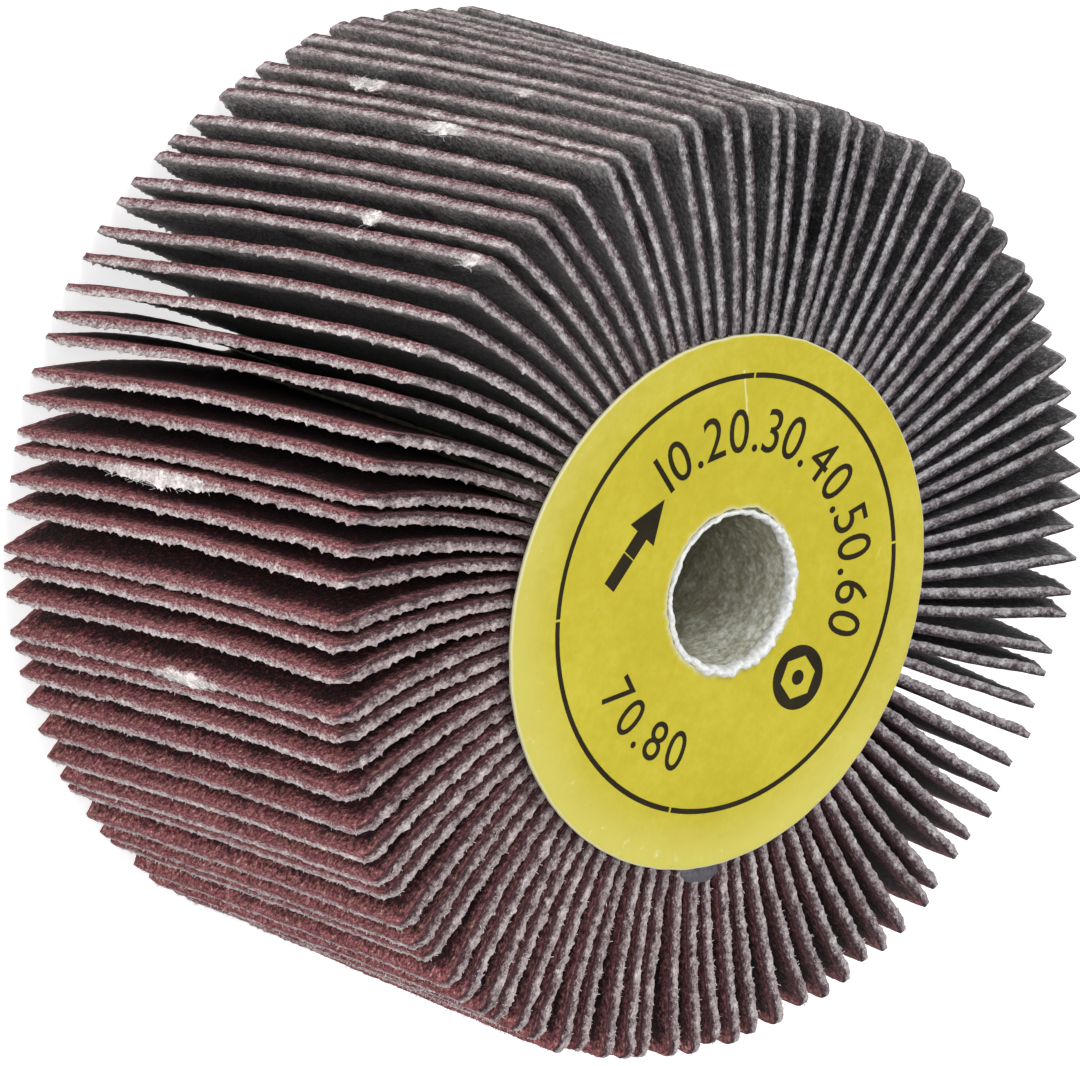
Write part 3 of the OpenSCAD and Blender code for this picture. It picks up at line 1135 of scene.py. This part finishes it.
def paperMaterial():
    material, tree, shader = newMaterial("yellowPaper")
    place = addNode(tree, "ShaderNodeTexCoord").outputs["Object"]
    x, y, _ = splitVector(tree, place)
    fromCentre = ((x - disc["centreX"] * mm) ** 2 + (y - disc["centreY"] * mm) ** 2) ** 0.5
    cloud = noiseField(tree, place, 160.0, 1.0, 3.0, 0.6)
    mottle = noiseField(tree, place, 1300.0, 2.0, 3.0, 0.75)
    ink = ramp(tree, spread(tree, cloud * 0.6 + mottle * 0.6, -1.0, 1.1), [
        (0.0, (0.40, 0.330, 0.010)),
        (0.45, (0.49, 0.412, 0.016)),
        (0.75, (0.55, 0.473, 0.034)),
        (1.0, (0.63, 0.565, 0.11)),
    ])
    # the margin outside the printed ring is rubbed paler
    rubSide = math.radians(disc["rubbedSide"])
    towards = (x * math.cos(rubSide) + y * math.sin(rubSide)) / (disc["radius"] * mm)
    margin = spread(tree, fromCentre + cloud * 0.0006, 0.0128, 0.0160)
    margin = margin * spread(tree, towards + cloud * 0.35 + mottle * 0.25, -0.9, 0.4)
    ink = mixColour(tree, margin * 0.75, ink, (0.585, 0.53, 0.115))
    # rubbed spots and short scratches
    spots = noiseField(tree, place, 950.0, 9.0, 3.0, 0.8) + margin * 0.2
    strokes = noiseField(tree, joinVector(tree, x * 0.16 + y * 0.05, y, 0.0), 1500.0, 5.0, 1.0)
    rubbed = spread(tree, spots, 0.48, 0.90) * 0.6
    rubbed = rubbed + spread(tree, strokes, 0.62, 0.85) * 0.22
    # one faint scratch inside the ring line
    tail, tip = Vector(disc["scratchFrom"]), Vector(disc["scratchTo"])
    along = (tip - tail).normalized()
    reach = ((x / mm - tail.x) * along.x + (y / mm - tail.y) * along.y) / (tip - tail).length
    aside = ((x / mm - tail.x) * along.y - (y / mm - tail.y) * along.x + mottle * 0.05).math("ABSOLUTE")
    inReach = (reach * (1.0 - reach)).math("GREATER_THAN", 0.0)
    rubbed = (rubbed + spread(tree, -1.0 * aside, -0.11, -0.03) * inReach * 0.5).below(1.0)
    ink = mixColour(tree, rubbed, ink, (0.80, 0.78, 0.45))
    colour = mixColour(tree, attributeField(tree, "bare"), ink, (0.62, 0.59, 0.36))
    tree.links.new(colour, shader.inputs["Base Color"])
    shader.inputs["Roughness"].default_value = 0.55
    shader.inputs["Specular IOR Level"].default_value = 0.3
    bump(tree, mottle + cloud * 1.5, 0.25, 0.00006, shader)
    return material


def paperLift(turn, share):
    # the rim of the disc curls up here and there
    reach = max(0.0, (share - disc["curlFrom"]) / (1.0 - disc["curlFrom"]))
    uneven = 0.5 + 0.3 * math.sin(2 * turn + 0.6) + 0.2 * math.sin(5 * turn + 2.1)
    return disc["curl"] * reach ** 2 * uneven


def makePaperDisc(material):
    low = frontZ + 0.01
    top = [(share, paperZ) for share in (0.0, 0.006, 0.015, 0.03, 0.06)]
    top += [(share, paperZ) for share in np.linspace(0.1, 0.84, 12)]
    top += [(share, paperZ) for share in np.linspace(0.86, 0.988, 9)]
    section = top + [(0.997, paperZ - 0.02), (1.0, paperZ - 0.07), (1.0, low + 0.06), (0.99, low)]
    section += [(0.86, low), (0.3, low), (0.02, low), (0.0, low + 0.04)]
    points, bare = [], []
    for row, (share, z) in enumerate(section):
        for k in range(disc["turns"]):
            turn = math.tau * k / disc["turns"]
            unit = Vector((math.cos(turn), math.sin(turn)))
            ragged = noise.noise(Vector((unit.x, unit.y, 0.3)) * 9.0) \
                + 0.5 * noise.noise(Vector((unit.x, unit.y, 1.7)) * 26.0)
            inner = unit * (disc["holeRadius"] + disc["tear"] * ragged)
            nick = 0.05 * noise.noise(Vector((unit.x, unit.y, 4.0)) * 14.0)
            outer = Vector((disc["centreX"], disc["centreY"])) + unit * (disc["radius"] - 0.05 + nick)
            spot = inner.lerp(outer, share)
            lift = paperLift(turn, share) + 0.12 * max(0.0, 1.0 - share / 0.03) * max(0.0, ragged)
            points.append((spot.x * mm, spot.y * mm, (z + lift) * mm))
            bare.append(1.0 if row >= len(top) else max(0.0, 1.0 - share / 0.02))
    turns, rows = disc["turns"], len(section)
    faces = [
        (row * turns + k, row * turns + (k + 1) % turns,
         (row + 1) % rows * turns + (k + 1) % turns, (row + 1) % rows * turns + k)
        for row in range(rows)
        for k in range(turns)
    ]
    piece = meshObject("paperDisc", points, faces, [material])
    pointValues(piece.data, "bare", bare)
    shape = bmesh.new()
    shape.from_mesh(piece.data)
    bmesh.ops.recalc_face_normals(shape, faces=shape.faces)
    shape.to_mesh(piece.data)
    shape.free()
    shadeSmooth(piece)
    finishPiece(piece, ["paper_disc"])


makePaperDisc(paperMaterial())
print("paper disc made")


# Print on the paper: a ring line, an arrow, a plain round mark and plain numbers

printed = dict(
    lift=0.004, ink=0.012,                            # mm above the paper, and its thickness
    ringX=0.25, ringY=-0.23, ringRadius=13.6, ringWidth=0.33,
    nicks=(197.0, 291.0, 118.0, 6.0),                 # degrees: where the ring line is chipped
    arrowTail=(2.26, -9.84), arrowTip=(-3.85, -7.91), shaft=0.98, headWidth=2.5, headLength=2.6,
    markAngle=65.0, markAt=8.6, markRadius=2.05, hexagon=1.42, dot=0.48,
    dial="10.20.30.40.50.60", dialFrom=240.0, dialTo=88.0, dialBase=8.7, dialHeight=2.86,
    numeralWidth=0.90,
    lower="70.80", lowerFrom=319.0, lowerTo=364.0, lowerAt=10.17, lowerHeight=2.66,
)


def inkMaterial():
    material, tree, shader = newMaterial("printInk")
    place = addNode(tree, "ShaderNodeTexCoord").outputs["Object"]
    flecks = noiseField(tree, place, 2400.0, 6.0, 3.0, 0.8)
    tone = noiseField(tree, place, 500.0, 8.0, 2.0)
    ink = mixColour(tree, spread(tree, tone, -1.0, 1.0), (0.011, 0.008, 0.003), (0.028, 0.021, 0.008))
    chipped = spread(tree, flecks, 1.25, 1.45)
    tree.links.new(mixColour(tree, chipped, ink, (0.55, 0.50, 0.12)), shader.inputs["Base Color"])
    shader.inputs["Roughness"].default_value = 0.6
    shader.inputs["Specular IOR Level"].default_value = 0.12
    return material


def prism(shape, outline):
    # a thin plate of ink: the outline is (x, y) in mm, counterclockwise
    low, high = (paperZ + printed["lift"]) * mm, (paperZ + printed["lift"] + printed["ink"]) * mm
    rings = [[shape.verts.new((x * mm, y * mm, z)) for x, y in outline] for z in (low, high)]
    shape.faces.new(rings[1])
    shape.faces.new(rings[0][::-1])
    for k in range(len(outline)):
        j = (k + 1) % len(outline)
        shape.faces.new((rings[0][k], rings[0][j], rings[1][j], rings[1][k]))


def ringArc(shape, centre, inner, outer, start, stop):
    # a stretch of a ring in short plates, start and stop in degrees
    steps = max(3, round((stop - start) / 3.0))
    angles = [math.radians(start + (stop - start) * k / steps) for k in range(steps + 1)]
    outline = [(centre[0] + outer * math.cos(a), centre[1] + outer * math.sin(a)) for a in angles]
    outline += [(centre[0] + inner * math.cos(a), centre[1] + inner * math.sin(a)) for a in reversed(angles)]
    prism(shape, outline)


def printRing(shape):
    centre = (printed["ringX"], printed["ringY"])
    half = printed["ringWidth"] / 2
    chips = sorted(printed["nicks"])
    for start, stop in zip(chips, chips[1:] + [chips[0] + 360.0]):
        ringArc(shape, centre, printed["ringRadius"] - half, printed["ringRadius"] + half,
                start + 0.35, stop - 0.35)


def printArrow(shape):
    tail, tip = Vector(printed["arrowTail"]), Vector(printed["arrowTip"])
    along = (tip - tail).normalized()
    side = Vector((-along.y, along.x))
    neck = tip - along * printed["headLength"]
    half, wide = printed["shaft"] / 2, printed["headWidth"] / 2
    middle = tail.lerp(neck, 0.6)
    nick = along * 0.045
    prism(shape, [tail - side * half, middle - nick - side * half, middle - nick + side * half,
                  tail + side * half])
    prism(shape, [middle + nick - side * half, neck - side * half, neck - side * wide, tip,
                  neck + side * wide, neck + side * half, middle + nick + side * half])


def printMark(shape):
    # a plain disc with a bare hexagon in it, and a dot
    turn = math.radians(printed["markAngle"])
    centre = Vector((printed["markAt"] * math.cos(turn), printed["markAt"] * math.sin(turn)))
    radius, sides, steps = printed["markRadius"], 6, 48
    rims = []
    for k in range(steps):
        a = math.tau * k / steps
        fromCorner = a % (math.tau / sides) - math.pi / sides
        inner = printed["hexagon"] * math.cos(math.pi / sides) / math.cos(fromCorner)
        unit = Vector((math.cos(a), math.sin(a)))
        rims.append((centre + unit * inner, centre + unit * radius))
    for (innerA, outerA), (innerB, outerB) in zip(rims, rims[1:] + rims[:1]):
        prism(shape, [innerA, outerA, outerB, innerB])
    prism(shape, [centre + Vector((math.cos(a), math.sin(a))) * printed["dot"]
                  for a in (math.tau * k / 20 for k in range(20))])


def numeralShape(character, height):
    # a numeral as a thin solid, standing on the origin and centred across it
    curve = bpy.data.curves.new("numeral", "FONT")
    curve.body = character
    curve.resolution_u = 5
    curve.extrude = printed["ink"] / 2
    piece = bpy.data.objects.new("numeral", curve)
    bpy.context.scene.collection.objects.link(piece)
    graph = bpy.context.evaluated_depsgraph_get()
    mesh = bpy.data.meshes.new_from_object(piece.evaluated_get(graph))
    bpy.data.objects.remove(piece)
    corners = np.array([tuple(v.co) for v in mesh.vertices])
    low, high = corners.min(0), corners.max(0)
    faces = [tuple(p.vertices) for p in mesh.polygons]
    scale = height / 0.729                            # the height of a numeral at size 1
    wide = scale * printed["numeralWidth"]
    corners[:, 0] = (corners[:, 0] - (low[0] + high[0]) / 2) * wide
    corners[:, 1] = corners[:, 1] * scale
    return corners, faces, (high[0] - low[0]) * wide


def printNumbers(shape, text, height, start, stop, base, inward):
    # numerals set round an arc, each as wide as it is, with even gaps
    drawn = [numeralShape(character, height) for character in text]
    middle = base if inward else base + height / 2
    length = math.radians(abs(stop - start)) * middle
    gap = (length - sum(width for _, _, width in drawn)) / (len(drawn) - 1)
    reached = 0.0
    for corners, faces, width in drawn:
        share = (reached + width / 2) / length
        reached += width + gap
        turn = math.radians(start + (stop - start) * share)
        out = Vector((math.cos(turn), math.sin(turn)))
        up = -out if inward else out
        across = Vector((up.y, -up.x))
        foot = out * (base + height / 2) if inward else out * base
        verts = []
        for u, v, w in corners:
            spot = foot + across * u + up * v
            z = paperZ + printed["lift"] + printed["ink"] / 2 + w
            verts.append(shape.verts.new((spot.x * mm, spot.y * mm, z * mm)))
        for face in faces:
            shape.faces.new([verts[k] for k in face])


def makePrint(material):
    shape = bmesh.new()
    printRing(shape)
    printArrow(shape)
    printMark(shape)
    printNumbers(shape, printed["dial"], printed["dialHeight"], printed["dialFrom"],
                 printed["dialTo"], printed["dialBase"], False)
    printNumbers(shape, printed["lower"], printed["lowerHeight"], printed["lowerFrom"],
                 printed["lowerTo"], printed["lowerAt"], True)
    bmesh.ops.remove_doubles(shape, verts=shape.verts, dist=0.001 * mm)
    bmesh.ops.recalc_face_normals(shape, faces=shape.faces)
    bmesh.ops.triangulate(shape, faces=shape.faces)
    mesh = bpy.data.meshes.new("labelPrint")
    shape.to_mesh(mesh)
    shape.free()
    mesh.materials.append(material)
    piece = bpy.data.objects.new("labelPrint", mesh)
    bpy.context.scene.collection.objects.link(piece)
    finishPiece(piece)


makePrint(inkMaterial())
print("print made")
